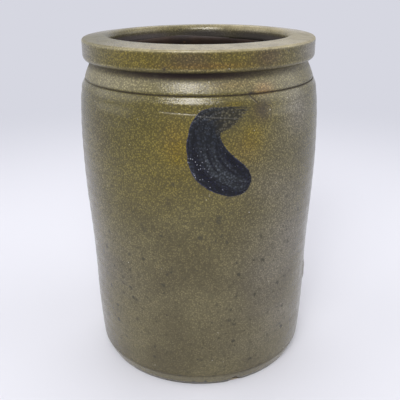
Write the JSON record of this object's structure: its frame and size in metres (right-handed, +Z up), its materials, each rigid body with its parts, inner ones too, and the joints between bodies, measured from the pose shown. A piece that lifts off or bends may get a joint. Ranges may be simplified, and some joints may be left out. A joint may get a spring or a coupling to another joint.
{
  "type": "stoneware crock",
  "caption": "Tall open salt-glazed stoneware jar with a squared rim, drawn-in neck, tooled shoulder line, brushed cobalt mark and brown slip lining, for keeping food.",
  "frame": {"origin": "centre of the flat underside", "axes": "+Z up along the pot's turning axis, -Y towards the front with the cobalt mark, +X to the right seen from the front"},
  "size_m": [0.181, 0.1812, 0.255],
  "materials": {
    "clay": "matte",
    "glaze": "satin",
    "slip": "satin",
    "cobalt": "gloss"
  },
  "bodies": {
    "root": {"stoneware_body": "clay", "salt_glaze": "glaze", "slip_lining": "slip", "cobalt_stroke": "cobalt"}
  },
  "joints": []
}
